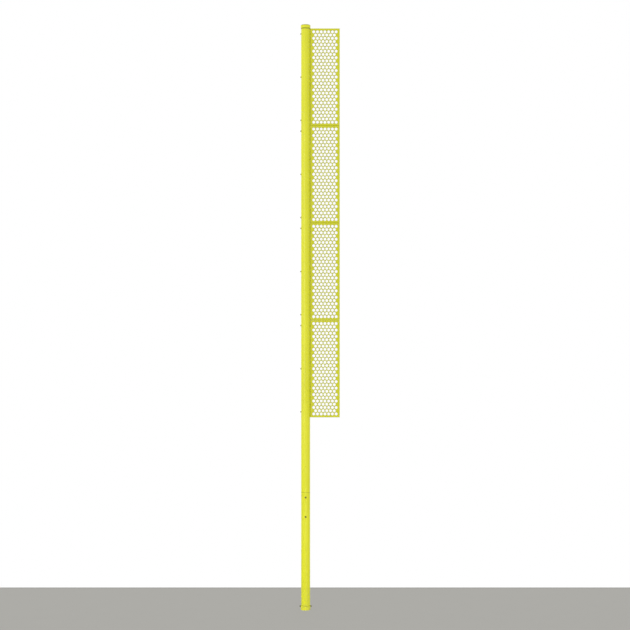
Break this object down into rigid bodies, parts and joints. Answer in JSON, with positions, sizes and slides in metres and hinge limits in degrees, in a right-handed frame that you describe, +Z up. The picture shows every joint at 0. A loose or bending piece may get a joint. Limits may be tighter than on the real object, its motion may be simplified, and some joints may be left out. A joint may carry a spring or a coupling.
{
  "type": "foul pole",
  "caption": "Tall yellow baseball foul pole with a narrow wing of hexagonal mesh panels, standing in a buried ground sleeve with lock bolts.",
  "frame": {"origin": "on the pole's axis at ground level, where the ground sleeve comes out of its footing", "axes": "+Z up along the pole; +X from the pole towards the wing's outer edge; the perforated sheets face -Y"},
  "size_m": [0.6285, 0.173, 10.3819],
  "materials": {
    "yellow_powder_coat": "optic yellow powder coat, satin to semi-gloss, fine orange peel",
    "black_hardware": "black coated steel fasteners, satin",
    "galvanised_steel": "dull galvanised steel"
  },
  "bodies": {
    "ground_sleeve": {"ground_sleeve": "yellow_powder_coat", "sleeve_stop_ring": "galvanised_steel", "sleeve_lock_nuts": "black_hardware"},
    "foot_disc": {"foot_disc": "galvanised_steel"},
    "pole": {"cap_screws": "black_hardware", "lower_pole": "yellow_powder_coat", "panel_1_bolts": "black_hardware", "panel_1_bottom_rail": "yellow_powder_coat", "panel_1_inner_stile": "yellow_powder_coat", "panel_1_inserts": "galvanised_steel", "panel_1_outer_stile": "yellow_powder_coat", "panel_1_perforated_sheet": "yellow_powder_coat", "panel_1_top_rail": "yellow_powder_coat", "panel_1_washers": "black_hardware", "panel_2_bolts": "black_hardware", "panel_2_bottom_rail": "yellow_powder_coat", "panel_2_inner_stile": "yellow_powder_coat", "panel_2_inserts": "galvanised_steel", "panel_2_outer_stile": "yellow_powder_coat", "panel_2_perforated_sheet": "yellow_powder_coat", "panel_2_top_rail": "yellow_powder_coat", "panel_2_washers": "black_hardware", "panel_3_bolts": "black_hardware", "panel_3_bottom_rail": "yellow_powder_coat", "panel_3_inner_stile": "yellow_powder_coat", "panel_3_inserts": "galvanised_steel", "panel_3_outer_stile": "yellow_powder_coat", "panel_3_perforated_sheet": "yellow_powder_coat", "panel_3_top_rail": "yellow_powder_coat", "panel_3_washers": "black_hardware", "panel_4_bolts": "black_hardware", "panel_4_bottom_rail": "yellow_powder_coat", "panel_4_inner_stile": "yellow_powder_coat", "panel_4_inserts": "galvanised_steel", "panel_4_outer_stile": "yellow_powder_coat", "panel_4_perforated_sheet": "yellow_powder_coat", "panel_4_top_rail": "yellow_powder_coat", "panel_4_washers": "black_hardware", "pole_cap": "yellow_powder_coat", "splice_bolts": "black_hardware", "splice_nuts": "black_hardware", "splice_plug_welds": "yellow_powder_coat", "splice_sleeve": "galvanised_steel", "splice_washers": "black_hardware", "upper_pole": "yellow_powder_coat"},
    "lock_bolt_left": {"lock_bolt_left": "black_hardware"},
    "lock_bolt_right": {"lock_bolt_right": "black_hardware"}
  },
  "joints": [
    {"name": "pole_turn", "type": "hinge", "parent": "ground_sleeve", "child": "foot_disc", "pos_m": [0, 0, -1.2065], "axis": [0, 0, 1], "continuous": true},
    {"name": "pole_lift", "type": "slide", "parent": "foot_disc", "child": "pole", "axis": [0, 0, 1], "range_m": [0, 1.28]},
    {"name": "lock_bolt_left_release", "type": "slide", "parent": "ground_sleeve", "child": "lock_bolt_left", "axis": [-1, 0, 0], "range_m": [0, 0.01]},
    {"name": "lock_bolt_right_release", "type": "slide", "parent": "ground_sleeve", "child": "lock_bolt_right", "axis": [1, 0, 0], "range_m": [0, 0.01]}
  ]
}
